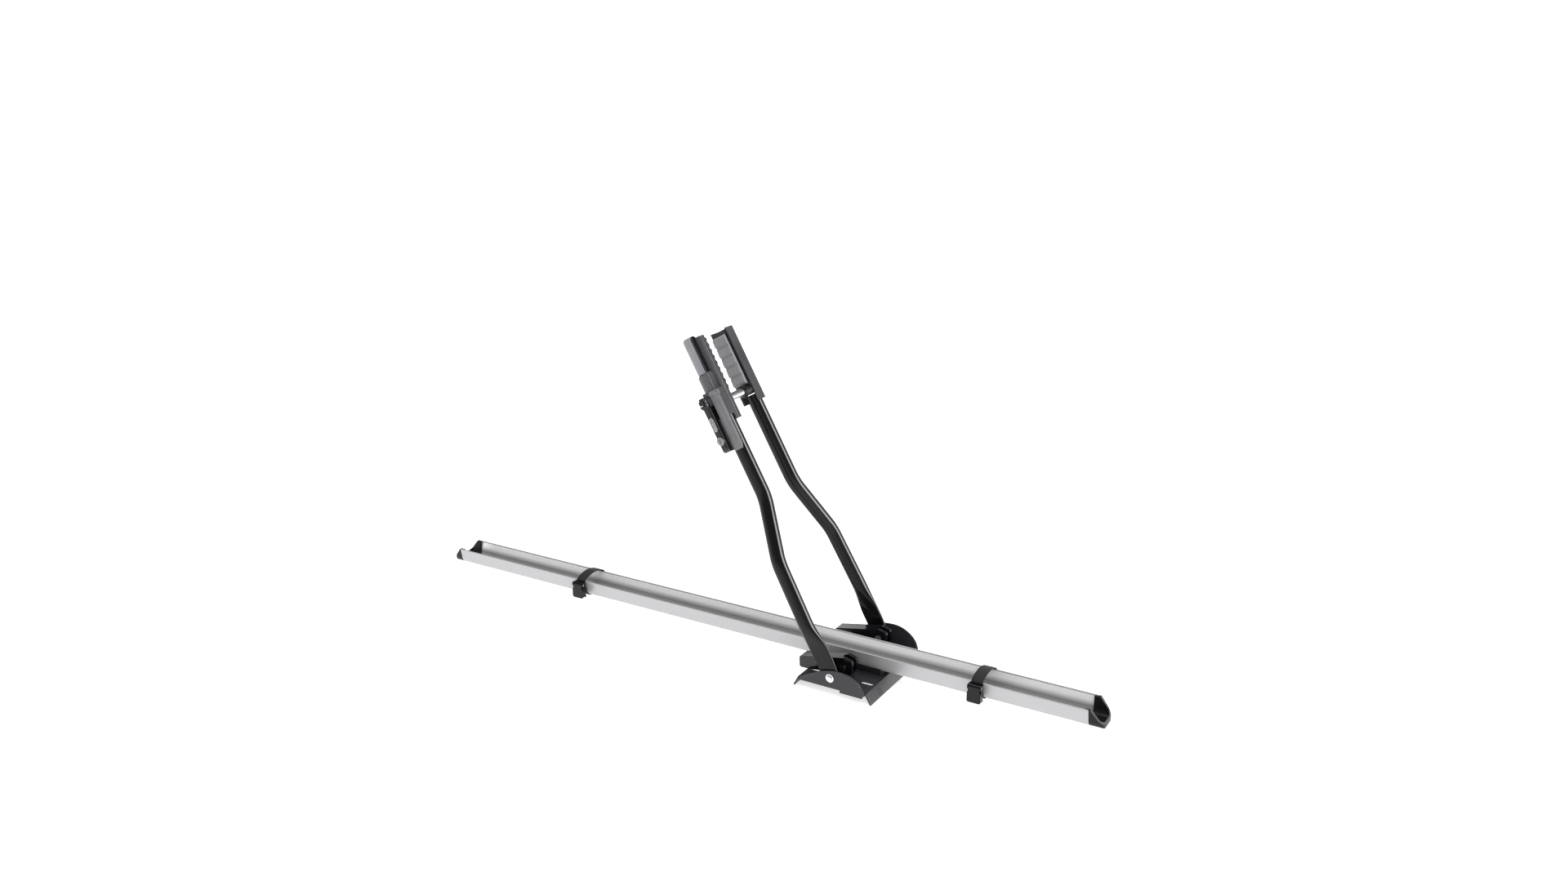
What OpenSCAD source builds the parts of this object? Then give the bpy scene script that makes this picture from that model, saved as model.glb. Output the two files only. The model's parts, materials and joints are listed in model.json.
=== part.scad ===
// Upright roof-mount bicycle carrier: wheel tray, base, two folding arms and a clamping head.
// The tray runs along X, the roof bar runs along Y under the base, and Z is up.
// The origin is the middle of the base plate's underside, under the arms' pivot axis.

/* [Wheel tray] */
// Length of the extruded tray
tray_l = 1450; // [1200:10:1600]
// Distance from the arm pivot to the short end of the tray
tray_front = 458; // [400:2:520]
// Width over the tray's upper edges
tray_w = 62; // [56:1:70]
// Height of the tray's upper edge above the base plate's underside
tray_top = 44.6; // [40:0.2:50]
// Height of the tray's lowest line above the base plate's underside
tray_bottom = 10.4; // [9:0.2:12]
// Wall of the tray
tray_wall = 2; // [1.6:0.1:2.6]
// How far each end cap reaches past the tray
cap_reach = 26; // [22:1:34]

/* [Wheel straps] */
// Distance from the pivot to the strap on the short side
strap_front_x = 256; // [220:1:300]
// Distance from the pivot to the strap on the long side
strap_rear_x = 643; // [560:1:700]
// Width of the webbing
strap_w = 22; // [20:1:28]
// Thickness of the webbing
strap_t = 2.2; // [1.8:0.1:2.6]
// Height of the top of the webbing's arch
strap_top = 56.7; // [56:0.1:64]

/* [Base] */
// Length of the base plate along the tray
plate_l = 140; // [130:2:160]
// Width over the two ears
base_w = 213; // [207:1:225]
// Thickness of the sheet steel
sheet = 3; // [2.5:0.5:4]
// Height of the near ear above the plate's underside
ear_top = 35.5; // [34:0.5:38]
// Height of the far ear above the plate's underside
far_ear_top = 45; // [36:0.5:46]
// Depth of the bent end flanges
flange_drop = 17.7; // [12:0.1:20]
// How far an end flange flares outwards
flange_flare = 11.9; // [6:0.1:14]
// Half spacing of the bar slots along the tray
slot_x = 53; // [50:1:54]
// Half spacing of the bar slots along the roof bar
slot_y = 61; // [56:1:64]
// Length of a bar slot
slot_l = 25; // [20:1:26]
// Width of a bar slot
slot_w = 9; // [8:0.5:10]

/* [Arms] */
// Height of the pivot axis above the plate's underside
pivot_z = 19.8; // [19:0.1:22]
// Lean of the arms from upright
arm_lean = 29; // [20:1:35]
// Diameter of the arm tubes
tube_d = 28; // [26:1:30]
// Wall of the arm tubes
tube_wall = 2; // [1.5:0.1:2.5]
// Distance of the lower tube stretch from the middle plane
arm_y_low = 103; // [101:0.5:105]
// Angle of the tube's cranked stretch
crank_angle = 22; // [18:1:24]
// Bend radius of the tubes
bend_r = 90; // [70:5:110]
// Width of a tube's flattened foot
foot_w = 38; // [34:1:40]
// Thickness of a tube's flattened foot
foot_t = 6; // [5:0.5:7]

/* [Head] */
// Distance of the tube centres from the middle plane at the head
head_y = 51; // [49:0.5:53]
// Distance from the pivot to the top of the tubes
tube_top = 528; // [520:1:529]
// Distance from the pivot to the clamp spindle
spindle_s = 541; // [540:0.5:542]
// Diameter of the clamp spindle
spindle_d = 15; // [12:0.5:15]
// Distance from the pivot to the top of the near jaw
jaw_top = 672; // [668:1:680]
// Distance of the pads' gripping faces from the middle plane
pad_y = 25; // [23:0.5:27]

/* [Bar clamps] */
// Distance of the cam levers' pins in front of the pivot axis
cam_x = 14; // [12:1:16]
// Distance of the cam levers from the middle plane
cam_y = 68; // [66:1:70]
// Height of a cam lever's pin
cam_z = 33; // [33:0.5:35]
// Width of a cam lever
cam_w = 24; // [20:1:26]

/* [Hidden] */

$fn = 48;
hair = 0.3;             // gap between faces that move past each other
run = 0.06;             // radial clearance of a running bore
bolt_r = 4;             // M8 shank
ear_in = base_w / 2 - sheet;
foot_y = ear_in - 1 - hair - foot_t / 2;
pad_low = 553;

function arc(cx, cy, r, a, b, n = 12) = [
    for (i = [0:n]) let (t = a + (b - a) * i / n) [cx + r * cos(t), cy + r * sin(t)]
];

// Outline of a trough with rounded lower corners; w_top and w_low are half widths.
function trough(w_top, w_low, top, low, r) = concat(
    [[-w_top, top]],
    arc(-w_low + r, low + r, r, 190, 270),
    arc(w_low - r, low + r, r, 270, 350),
    [[w_top, top]]
);

// Smooth curve through the given points.
function curve(p, n = 6) = concat([for (i = [0:len(p) - 2], k = [0:n - 1]) let (
    a = p[max(i - 1, 0)],
    b = p[i],
    c = p[i + 1],
    d = p[min(i + 2, len(p) - 1)],
    t = k / n
) 0.5 * (2 * b + (c - a) * t + (2 * a - 5 * b + 4 * c - d) * t * t + (3 * b - 3 * c + d - a) * t * t * t)],
    [p[len(p) - 1]]);

module along_x(x, l) translate([x, 0, 0]) rotate([90, 0, 90]) linear_extrude(l) children();
module along_y(y, l) translate([0, y, 0]) rotate([90, 0, 0]) mirror([0, 0, 1]) linear_extrude(l) children();
module rod_y(y, l, r) translate([0, y, 0]) rotate([-90, 0, 0]) cylinder(h = l, r = r);
module rod_x(x, l, r) translate([x, 0, 0]) rotate([0, 90, 0]) cylinder(h = l, r = r);
module hex(r, h) cylinder(h = h, r = r, $fn = 6);
module both_x(d) for (x = [-d, d]) translate([x, 0, 0]) children();
module both_y(d) for (y = [-d, d]) translate([0, y, 0]) children();
module arm_frame() translate([0, 0, pivot_z]) rotate([0, -arm_lean, 0]) children();
module far_side() mirror([0, 1, 0]) children();

// Plate with rounded corners, standing on z = 0.
module slab(x, y, z, r) linear_extrude(z) rounded(x, y, r);
module rounded(x, y, r) {
    square([x - 2 * r, y], center = true);
    square([x, y - 2 * r], center = true);
    for (sx = [-1, 1], sy = [-1, 1]) translate([sx * (x / 2 - r), sy * (y / 2 - r)]) circle(r);
}
module slot_2d(l, w) {
    square([l - w, w], center = true);
    for (s = [-1, 1]) translate([s * (l - w) / 2, 0]) circle(w / 2);
}

// Bar between two circles of different size, in a plane.
module taper_2d(p, rp, q, rq) {
    d = q - p;
    a = atan2(d[1], d[0]);
    b = acos((rp - rq) / norm(d));
    translate(p) circle(rp);
    translate(q) circle(rq);
    polygon([
        p + rp * [cos(a + b), sin(a + b)], p + rp * [cos(a - b), sin(a - b)],
        q + rq * [cos(a - b), sin(a - b)], q + rq * [cos(a + b), sin(a + b)]
    ]);
}

// ---- Base ----

// Outlines of the two ears; each is highest behind the pivot, on the side of the short end.
near_ear = curve([
    [-plate_l / 2, 0], [-45, ear_top - 19.5], [-22, ear_top - 7.5], [0, ear_top - 1.5], [18, ear_top],
    [41, ear_top - 3], [57, ear_top - 12.5], [67, 8], [plate_l / 2, 0]
]);
far_ear = curve([
    [-plate_l / 2, 0], [-54, far_ear_top - 36], [-34, far_ear_top - 18], [-10, far_ear_top - 4],
    [20, far_ear_top], [41, far_ear_top - 3], [59, far_ear_top - 13], [70, far_ear_top - 25],
    [plate_l / 2 + 5, 6], [plate_l / 2 + 4, 0]
]);

module base_plate() color([0.16, 0.16, 0.17]) {
    difference() {
        union() {
            translate([-plate_l / 2, -base_w / 2, 0]) cube([plate_l, base_w, sheet]);
            translate([0, -base_w / 2, 0]) ear(near_ear);
            far_side() translate([0, -base_w / 2, 0]) ear(far_ear);
            for (s = [0, 1]) mirror([s, 0, 0]) end_flange();
        }
        for (sx = [-1, 1], sy = [-1, 1]) translate([sx * slot_x, sy * slot_y, -1])
            linear_extrude(sheet + 2) slot_2d(slot_l, slot_w);
        both_y(cam_y) translate([cam_x, 0, -1]) cylinder(h = sheet + 2, r = 4.3);
        both_x(bolt_x) translate([0, 0, -1]) cylinder(h = sheet + 2, r = 3.2);
    }
}

module ear(outline) {
    difference() {
        along_y(0, sheet) polygon(outline);
        translate([0, 0, pivot_z]) rod_y(-1, sheet + 2, bolt_r);
    }
    translate([20, 0, -5]) cube([46, sheet, 5.5]);
}

notch_w = 1.4;

// Flange bent down and outwards, with pairs of narrow relief notches in its lower edge.
module end_flange() {
    slant = norm([flange_drop, flange_flare]);
    difference() {
        along_y(-base_w / 2 + 6, base_w - 12) polygon([
            [plate_l / 2 - 1, sheet], [plate_l / 2 + 1, sheet],
            [plate_l / 2 + flange_flare, -flange_drop + 1.2],
            [plate_l / 2 + flange_flare - 2.6, -flange_drop],
            [plate_l / 2 - 1, 0]
        ]);
        both_y(slot_y - 3) for (y = [-3.5, 3.5])
            translate([plate_l / 2 + 2, y - notch_w / 2, -slant]) cube([slant, notch_w, slant - 4]);
    }
}

bolt_x = 46;

module tray_saddle() color([0.12, 0.12, 0.13]) difference() {
    translate([-62, -24, sheet]) cube([124, 48, 14]);
    along_x(-100, 200) tray_section(0);
    both_x(bolt_x) cylinder(h = 40, r = 3.2);
    translate([-30, -30, sheet - 1]) cube([60, 60, 4]);
}

// ---- Wheel tray ----

low_w = tray_w / 2 - 3.4;
corner = 15;

module tray_section(grow) {
    polygon(trough(tray_w / 2 + grow, low_w + grow, tray_top, tray_bottom - grow, corner + grow));
}

bead_r = 1.5;
module edge_beads(r) for (s = [-1, 1]) translate([s * (tray_w / 2 - 1.1), tray_top - 0.4]) circle(r);

// Hairlines that divide the section into a floor, two corners and two sides, so that each
// strip is nearly convex.
seam = 0.04;
module strip_seams() for (s = [0, 1]) mirror([s, 0, 0]) translate([low_w - corner, tray_bottom + corner]) {
    translate([-seam / 2, -2 * corner]) square([seam, 2 * corner]);
    rotate(45) translate([-seam / 2, -2 * corner]) square([seam, 2 * corner]);
}

module wheel_tray() color([0.78, 0.79, 0.8]) difference() {
    along_x(tray_front - tray_l, tray_l) difference() {
        union() {
            difference() {
                tray_section(0);
                polygon(trough(
                    tray_w / 2 - tray_wall + 0.2, low_w - tray_wall, tray_top + 0.1,
                    tray_bottom + tray_wall, corner - tray_wall
                ));
            }
            edge_beads(bead_r);
        }
        strip_seams();
    }
    both_x(bolt_x) cylinder(h = 30, r = 3.2);
}

module tray_bolts() color([0.75, 0.75, 0.76]) both_x(bolt_x) {
    translate([0, 0, tray_bottom + tray_wall]) cylinder(h = 1.4, r = 8);
    translate([0, 0, tray_bottom + tray_wall + 1.4]) cylinder(h = 2.2, r1 = 6.4, r2 = 3.4);
    translate([0, 0, -9]) cylinder(h = 9 + tray_bottom + tray_wall + 1, r = 3);
}

module tray_nuts() color([0.7, 0.7, 0.71]) both_x(bolt_x) difference() {
    union() {
        translate([0, 0, -1.6]) cylinder(h = 1.6, r = 8);
        translate([0, 0, -7]) hex(5.8, 5.4);
    }
    translate([0, 0, -10]) cylinder(h = 12, r = 3);
}

// End cap: a plug inside the tray and a rounded scoop whose sides slope down to its nose.
plug_l = 8;
cap_wall = 2.6;
nose_r = 20;

module nose_plan(x, reach, w) polygon(concat(
    [[x - plug_l - 1, -w]],
    arc(x + reach - nose_r, nose_r - w, nose_r, 270, 360, 10),
    arc(x + reach - nose_r, w - nose_r, nose_r, 0, 90, 10),
    [[x - plug_l - 1, w]]
));

// Trough section set in by d from the tray's outer faces.
module inset_section(d, top)
    polygon(trough(tray_w / 2 - d + 0.1, low_w - d, top, tray_bottom + d, corner - d));

module end_cap(x, reach) {
    wide = tray_w / 2 + 1;
    difference() {
        union() {
            intersection() {
                along_x(x + 0.2, reach) inset_section(0, tray_top + 0.8);
                linear_extrude(80) nose_plan(x, reach, wide);
            }
            along_x(x - plug_l, plug_l + 1) inset_section(tray_wall + 0.35, tray_top + 0.1);
        }
        intersection() {
            along_x(x - plug_l - 1, plug_l + 1 + reach) inset_section(tray_wall + cap_wall, 90);
            linear_extrude(90) nose_plan(x, reach - cap_wall, wide - cap_wall);
        }
        translate([x + 2.6, -60, tray_top + 1]) rotate([0, 50, 0]) cube([80, 120, 60]);
    }
}

module end_cap_front() color([0.08, 0.08, 0.09]) end_cap(tray_front, cap_reach);
module end_cap_rear() color([0.08, 0.08, 0.09])
    translate([2 * tray_front - tray_l, 0, 0]) mirror([1, 0, 0]) end_cap(tray_front, cap_reach);

// ---- Wheel straps ----

side_y = tray_w / 2 + 1.9;      // webbing beside the tray's edges
side_z = 46;
wrap_r = corner + strap_t / 2 + 0.25;
arch_rise = strap_top - strap_t / 2 - side_z;
arch_r = (side_y * side_y + arch_rise * arch_rise) / (2 * arch_rise);
arch_a = asin(side_y / arch_r) - 1.5;

// The webbing's middle line: up from behind the buckle, over the tray's open top, down
// its far side, under its floor and back up behind the buckle.
strap_path = concat(
    [[-side_y + 0.2, 36], [-side_y, 43.5], [-side_y + 0.35, 45.3]],
    arc(0, side_z + arch_rise - arch_r, arch_r, 90 + arch_a, 90 - arch_a, 20),
    [[side_y - 0.35, 45.3], [side_y, 43.5]],
    arc(low_w - corner, tray_bottom + corner, wrap_r, -8, -90, 8),
    arc(corner - low_w, tray_bottom + corner, wrap_r, 270, 188, 8),
    [[-side_y + 1.3, 33.6]]
);

function along(path, i) = let (
    a = path[max(i - 1, 0)],
    b = path[min(i + 1, len(path) - 1)]
) (b - a) / norm(b - a);
function beside(path, i, d) = path[i] + d * [-along(path, i)[1], along(path, i)[0]];

module ribbon(path, t) polygon(concat(
    [for (i = [0:len(path) - 1]) beside(path, i, t / 2)],
    [for (i = [len(path) - 1:-1:0]) beside(path, i, -t / 2)]
));

module strap(x) color([0.07, 0.07, 0.07]) along_x(x - strap_w / 2, strap_w) ribbon(strap_path, strap_t);
module strap_front() strap(strap_front_x);
module strap_rear() strap(-strap_rear_x);

buckle_y = -34.4;         // back of the buckle body, against the webbing
pin_y = buckle_y - 6.9;
pin_z = 39.6;
pin_r = 1.5;
hub_r = 5.2;              // rounded top of the buckle's lever
buckle_low = 11;
cheek_in = strap_w / 2 + 0.3;
cheek_out = cheek_in + 1.7;

module buckle_body(x) color([0.1, 0.1, 0.11]) difference() {
    union() {
        translate([x - cheek_out, buckle_y - 1.5, buckle_low]) cube([2 * cheek_out, 1.5, 34]);
        along_x(x + cheek_in, cheek_out - cheek_in) buckle_cheek();
        along_x(x - cheek_out, cheek_out - cheek_in) buckle_cheek();
    }
    translate([x, pin_y, pin_z]) rod_x(-strap_w, 2 * strap_w, pin_r);
}

module buckle_cheek() {
    translate([pin_y, pin_z]) circle(hub_r);
    translate([pin_y, pin_z - 4]) square([6.9, 8]);
    translate([pin_y - 1.6, buckle_low + 2]) square([7.4, pin_z - buckle_low - 2]);
}

// Lever: a hub between the cheeks and a front panel that covers them.
module buckle_lever(x) color([0.09, 0.09, 0.1]) difference() {
    union() {
        along_x(x - cheek_in + 0.3, 2 * cheek_in - 0.6) {
            translate([pin_y, pin_z]) circle(hub_r);
            translate([pin_y - hub_r, 28]) square([3.2, pin_z - 28]);
        }
        translate([x, pin_y - hub_r + 3.2, (buckle_low + 32) / 2]) rotate([90, 0, 0])
            slab(2 * cheek_out + 0.4, 32 - buckle_low, 3.2, 3.4);
    }
    translate([x, pin_y, pin_z]) rod_x(-strap_w, 2 * strap_w, pin_r + run);
}

module buckle_pin(x) color([0.7, 0.7, 0.7])
    translate([x, pin_y, pin_z]) rod_x(-cheek_out, 2 * cheek_out, pin_r);

module buckle_body_front() buckle_body(strap_front_x);
module buckle_body_rear() buckle_body(-strap_rear_x);
module buckle_lever_front() buckle_lever(strap_front_x);
module buckle_lever_rear() buckle_lever(-strap_rear_x);
module buckle_pin_front() buckle_pin(strap_front_x);
module buckle_pin_rear() buckle_pin(-strap_rear_x);

// ---- Pivots ----

nut_y = foot_y - foot_t / 2 - hair - 1;

module pivot_bolt() color([0.8, 0.8, 0.8]) translate([0, 0, pivot_z]) {
    rod_y(-base_w / 2 - 1.2, base_w / 2 + 1.2 - nut_y + 7.5, bolt_r);
    rod_y(-base_w / 2 - 1.2, 1.2, 8);
    translate([0, -base_w / 2 - 1.2, 0]) rotate([90, 0, 0]) cylinder(h = 3, r = 6.4);
    translate([0, -base_w / 2 - 4.2, 0]) rotate([90, 0, 0]) cylinder(h = 1.2, r1 = 6.4, r2 = 4.6);
}

module pivot_nut() color([0.7, 0.7, 0.72]) translate([0, 0, pivot_z]) difference() {
    union() {
        rod_y(-nut_y - 1, 1, 8);
        translate([0, -nut_y, 0]) rotate([-90, 0, 0]) hex(7.4, 6.5);
        rod_y(-ear_in, 1, 8);
    }
    rod_y(-ear_in - 1, 40, bolt_r);
}

module pivot_bolt_near() pivot_bolt();
module pivot_bolt_far() far_side() pivot_bolt();
module pivot_nut_near() pivot_nut();
module pivot_nut_far() far_side() pivot_nut();

// ---- Arms ----

foot_end_r = 16.2;      // round end of a foot, clear of the plate in every pose
flat_s = 50;            // where the flattened foot begins to open into the tube
round_s = 105;          // where the tube is round
drift = 2.3;            // angle of the lower stretch towards the middle
low_run = 109;
shift = arm_y_low - head_y - low_run * sin(drift)
    - bend_r * (cos(drift) - cos(crank_angle)) - bend_r * (1 - cos(crank_angle));
mid_run = shift / sin(crank_angle);
top_run = tube_top - round_s - low_run * cos(drift) - bend_r * (sin(crank_angle) - sin(drift))
    - mid_run * cos(crank_angle) - bend_r * sin(crank_angle);

// Tube from the origin up: straight, bend, straight, bend, straight.
module tube_run(r, start, end) rotate([-drift, 0, 0]) {
    translate([0, 0, start]) cylinder(h = low_run - start, r = r);
    translate([0, 0, low_run]) mirror([0, 1, 0]) bend(r, crank_angle - drift) {
        cylinder(h = mid_run, r = r);
        translate([0, 0, mid_run]) mirror([0, 1, 0]) bend(r, crank_angle)
            cylinder(h = top_run + end, r = r);
    }
}

// Bend towards -Y, with its children carried on its end.
module bend(r, angle) {
    translate([0, -bend_r, 0]) rotate([90, 0, 90]) rotate_extrude(angle = angle)
        translate([bend_r, 0]) circle(r);
    translate([0, -bend_r * (1 - cos(angle)), bend_r * sin(angle)]) rotate([angle, 0, 0]) children();
}

module arm_tube() color([0.05, 0.05, 0.055]) arm_frame() difference() {
    union() {
        translate([0, -foot_y, 0]) rotate([90, 0, 0]) translate([0, 0, -foot_t / 2]) linear_extrude(foot_t) {
            taper_2d([0, 0], foot_end_r, [0, 30], foot_w / 2);
            translate([-foot_w / 2, 30]) square([foot_w, flat_s - 30]);
        }
        hull() {
            translate([-foot_w / 2, -foot_y - foot_t / 2, flat_s - 1]) cube([foot_w, foot_t, 1]);
            translate([0, -arm_y_low, round_s]) cylinder(h = 1, r = tube_d / 2, $fn = 32);
        }
        translate([0, -arm_y_low, round_s]) tube_run(tube_d / 2, 0, 0);
    }
    translate([0, -arm_y_low, round_s]) tube_run(tube_d / 2 - tube_wall, 4, 1);
    rod_y(-ear_in - 5, 20, bolt_r + run);
}

module arm_tube_near() arm_tube();
module arm_tube_far() far_side() arm_tube();

module far_tube_plug() color([0.06, 0.06, 0.06]) arm_frame() translate([0, head_y, 0]) {
    translate([0, 0, tube_top - 12]) cylinder(h = 12, r = tube_d / 2 - tube_wall);
    translate([0, 0, tube_top]) cylinder(h = 1.4, r = tube_d / 2 - 0.6);
}

// ---- Near half of the head ----

spindle_x = 7;
head_out = -head_y - 17;        // outer face of the near head
head_in = -pad_y - 8;           // inner face of the near head, behind its pad

module near_head() color([0.36, 0.36, 0.38]) arm_frame() difference() {
    union() {
        translate([-18, head_out, 512]) cube([36, head_in - head_out, 54]);
        translate([-18, -50, 566]) cube([36, head_in + 50, jaw_top - 5 - 566]);
        translate([-18, -50, 500]) cube([36, head_in + 50, 12]);
        clamp_lug();
    }
    translate([0, -head_y, 480]) cylinder(h = tube_top - 480, r = tube_d / 2);
    translate([spindle_x, 0, spindle_s]) rod_y(-90, 80, spindle_d / 2 + run);
    translate([22, -41, 496]) cylinder(h = 200, r = 5.6);
    translate([0, lever_y, lever_s]) rod_x(-4, lever_o + 4, 3);
}

// Lug that carries the clamp lever's pin.
module clamp_lug() {
    translate([0, lever_y, lever_s]) rod_x(-3, lever_o + 2.6, 4.6);
    translate([-3, lever_y, lever_s - 4.6]) cube([lever_o + 2.6, head_out + 1 - lever_y, 9.2]);
}

module near_jaw_cover() color([0.62, 0.62, 0.64]) arm_frame() jaw_shell(16, 600.3, jaw_top);
module near_sleeve() color([0.3, 0.3, 0.32]) arm_frame() jaw_shell(18.4, 566.2, 600);

// Half-round cover on the near jaw's back, fluted along its front corner.
module jaw_shell(r, low, top) difference() {
    translate([-4, -46, low]) {
        cylinder(h = top - low - 4, r = r);
        translate([0, 0, top - low - 4]) cylinder(h = 4, r1 = r, r2 = r - 3.5);
    }
    translate([-40, -50.05, low - 1]) cube([80, 60, 200]);
    translate([11.5, -57.5, low - 1]) cylinder(h = 200, r = 6.6);
}

tooth = 12;

module near_pad() color([0.08, 0.08, 0.08]) arm_frame() rotate([0, -90, 0]) translate([0, 0, -15])
    linear_extrude(30) polygon(concat(
        [[jaw_top - 8, head_in], [pad_low + 3, head_in]],
        [for (i = [0:8]) each [[pad_low + 3 + i * tooth, -pad_y - 3.2], [pad_low + 10 + i * tooth, -pad_y]]]
    ));

lock_x = -7.2;
knob_y = -88.5;
lock_s = 474;
shell_out = -90;

module clamp_housing() color([0.09, 0.09, 0.1]) arm_frame() difference() {
    union() {
        intersection() {
            housing_block(450, 500.4, -54);
            housing_side();
        }
        housing_block(500, 540, head_out - 0.1);
        translate([lock_x, knob_y, 539]) cylinder(h = 4.4, r1 = 7.4, r2 = 9.6);
        translate([lock_x, knob_y, 543.4]) cylinder(h = 2.6, r = 9.6);
        translate([lock_x, knob_y, 541]) cylinder(h = 13, r = 3);
    }
    translate([0, -head_y, 440]) cylinder(h = 110, r = tube_d / 2 + 0.05);
    translate([lock_x, 0, lock_s]) rod_y(shell_out - 1, 14, barrel_r);
    translate([lock_x, shell_out - 1, 507]) rotate([-90, 0, 0]) linear_extrude(1.6) label_2d(0.2);
}

module housing_block(low, top, inner) translate([0, 0, low]) linear_extrude(top - low) {
    translate([-15, shell_out + 4]) square([15.6, inner - shell_out - 4]);
    translate([-11, shell_out]) square([7.6, 5]);
    for (x = [-11, -3.4]) translate([x, shell_out + 4]) circle(4);
}

// Side outline of the housing, rounded at its lower outer corner.
module housing_side() translate([-20, 0, 0]) rotate([90, 0, 90]) linear_extrude(40) {
    translate([shell_out + 12, 450 + 12]) circle(12);
    translate([shell_out + 12, 450]) square([60, 80]);
    translate([shell_out - 1, 462]) square([60, 80]);
}

module label_2d(grow) {
    square([10 + 2 * grow, 18], center = true);
    for (s = [-1, 1]) translate([0, s * 9]) circle(5 + grow);
}

module label_plate() color([0.66, 0.66, 0.66]) arm_frame()
    translate([lock_x, shell_out - 0.2, 507]) rotate([-90, 0, 0]) linear_extrude(0.8) label_2d(0);

barrel_r = 7.2;
plug_r = 5.6;

module lock_barrel() color([0.45, 0.45, 0.46]) arm_frame() translate([lock_x, 0, lock_s]) difference() {
    union() {
        rod_y(shell_out - 1, 14, barrel_r);
        rod_y(shell_out - 1.8, 0.8, barrel_r + 0.9);
    }
    rod_y(shell_out - 2, 11, plug_r + run);
}

module lock_plug() color([0.75, 0.75, 0.76]) arm_frame() translate([lock_x, 0, lock_s]) difference() {
    rod_y(shell_out - 2.2, 10.6, plug_r);
    translate([-0.8, shell_out - 3, -3.6]) cube([1.6, 6, 7.2]);
}

module adjuster_knob() color([0.13, 0.13, 0.14]) arm_frame() translate([lock_x, knob_y, 0]) difference() {
    union() {
        translate([0, 0, 547]) cylinder(h = 1.2, r1 = 7.8, r2 = 8.8);
        translate([0, 0, 548.2]) cylinder(h = 6.4, r = 8.8);
        translate([0, 0, 554.6]) cylinder(h = 1.2, r1 = 8.8, r2 = 7.8);
        translate([0, 0, 555.8]) cylinder(h = 4, r = 6.4);
    }
    for (i = [0:11]) rotate(i * 30) translate([9.3, 0, 540]) cylinder(h = 30, r = 1);
    translate([0, 0, 540]) cylinder(h = 14.6, r = 3 + run);
}

lever_y = head_out - 7.2;
lever_s = 559;
lever_o = 5.6;          // near face of the lever, in front of the arm's middle
lever_w = 18;

module clamp_lever() color([0.42, 0.42, 0.44]) arm_frame() difference() {
    translate([lever_o, 0, 0]) rotate([90, 0, 90]) linear_extrude(lever_w) {
        translate([lever_y, lever_s]) circle(6);
        translate([lever_y - 4, 455]) square([6.5, lever_s - 455]);
        taper_2d([lever_y - 0.8, 456], 3.2, [lever_y - 3, 449], 1.8);
    }
    translate([0, lever_y, lever_s]) rod_x(lever_o - 1, lever_w + 2, 3 + run);
    for (x = [lever_o + 2.4, lever_o + lever_w - 4.4]) translate([x, lever_y - 4.6, 466]) cube([2, 1.2, 80]);
}

module clamp_pin() color([0.75, 0.75, 0.76]) arm_frame() translate([0, lever_y, lever_s]) {
    rod_x(-3, lever_o + lever_w + 3.6, 3);
    rod_x(lever_o + lever_w + 0.4, 1.4, 4.2);
}

// ---- Far half of the head ----

module spindle() color([0.82, 0.82, 0.83]) arm_frame()
    translate([spindle_x, 0, spindle_s]) rod_y(-47.5, 91.5, spindle_d / 2);

module spindle_collar() color([0.07, 0.07, 0.07]) arm_frame() difference() {
    translate([spindle_x, 0, spindle_s]) {
        rod_y(16, 20, 11);
        rod_y(13, 3, 9.6);
    }
    translate([spindle_x, 0, spindle_s]) rod_y(0, 40, spindle_d / 2);
    translate([-30, 0, 500]) cube([60, 60, 30.8]);
}

cheek_x = 16.4;
cheek_t = 3.6;

module far_jaw() color([0.25, 0.25, 0.27]) arm_frame() difference() {
    union() {
        for (s = [-1, 1]) translate([s * (cheek_x + cheek_t / 2) - cheek_t / 2, 36, 515])
            cube([cheek_t, 23, 151]);
        translate([-cheek_x - 1, 38, 531]) cube([2 * cheek_x + 2, 4, 124]);
        translate([-cheek_x - 1, 36, 531]) cube([2 * cheek_x + 2, 14, 22]);
    }
    translate([spindle_x, 0, spindle_s]) rod_y(20, 24, spindle_d / 2);
}

module far_jaw_carrier() color([0.06, 0.06, 0.06]) arm_frame() {
    translate([-14, pad_y + 8, 554]) cube([28, 38 - pad_y - 8, 101]);
    translate([-cheek_x, pad_y + 8, 655]) cube([2 * cheek_x, 58 - pad_y - 8, 8.6]);
}

// Gripping pad with five flat ribs and sharp valleys between them.
rib = 20.4;

module far_pad() color([0.5, 0.5, 0.51]) arm_frame() rotate([0, -90, 0]) translate([0, 0, -15])
    linear_extrude(30) polygon(concat(
        [[pad_low + 5 * rib, pad_y + 8], [pad_low, pad_y + 8]],
        [for (i = [0:4]) each [
            [pad_low + i * rib, pad_y + 3.4], [pad_low + 4.4 + i * rib, pad_y],
            [pad_low + rib - 2.6 + i * rib, pad_y + 1.2]
        ]],
        [[pad_low + 5 * rib, pad_y + 3.4]]
    ));

// ---- Roof-bar clamps ----

cam_hub = 18.6;         // radius of a lever's hub
heel_x = 11.5;     // middle of the hub's upper corner, from the pin
heel_z = 10;
heel_r = 6;
grip_x = -75;           // middle of the handle's rounded end corners
grip_low = 16;
grip_top = 29.5;
grip_r = 5;

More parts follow.
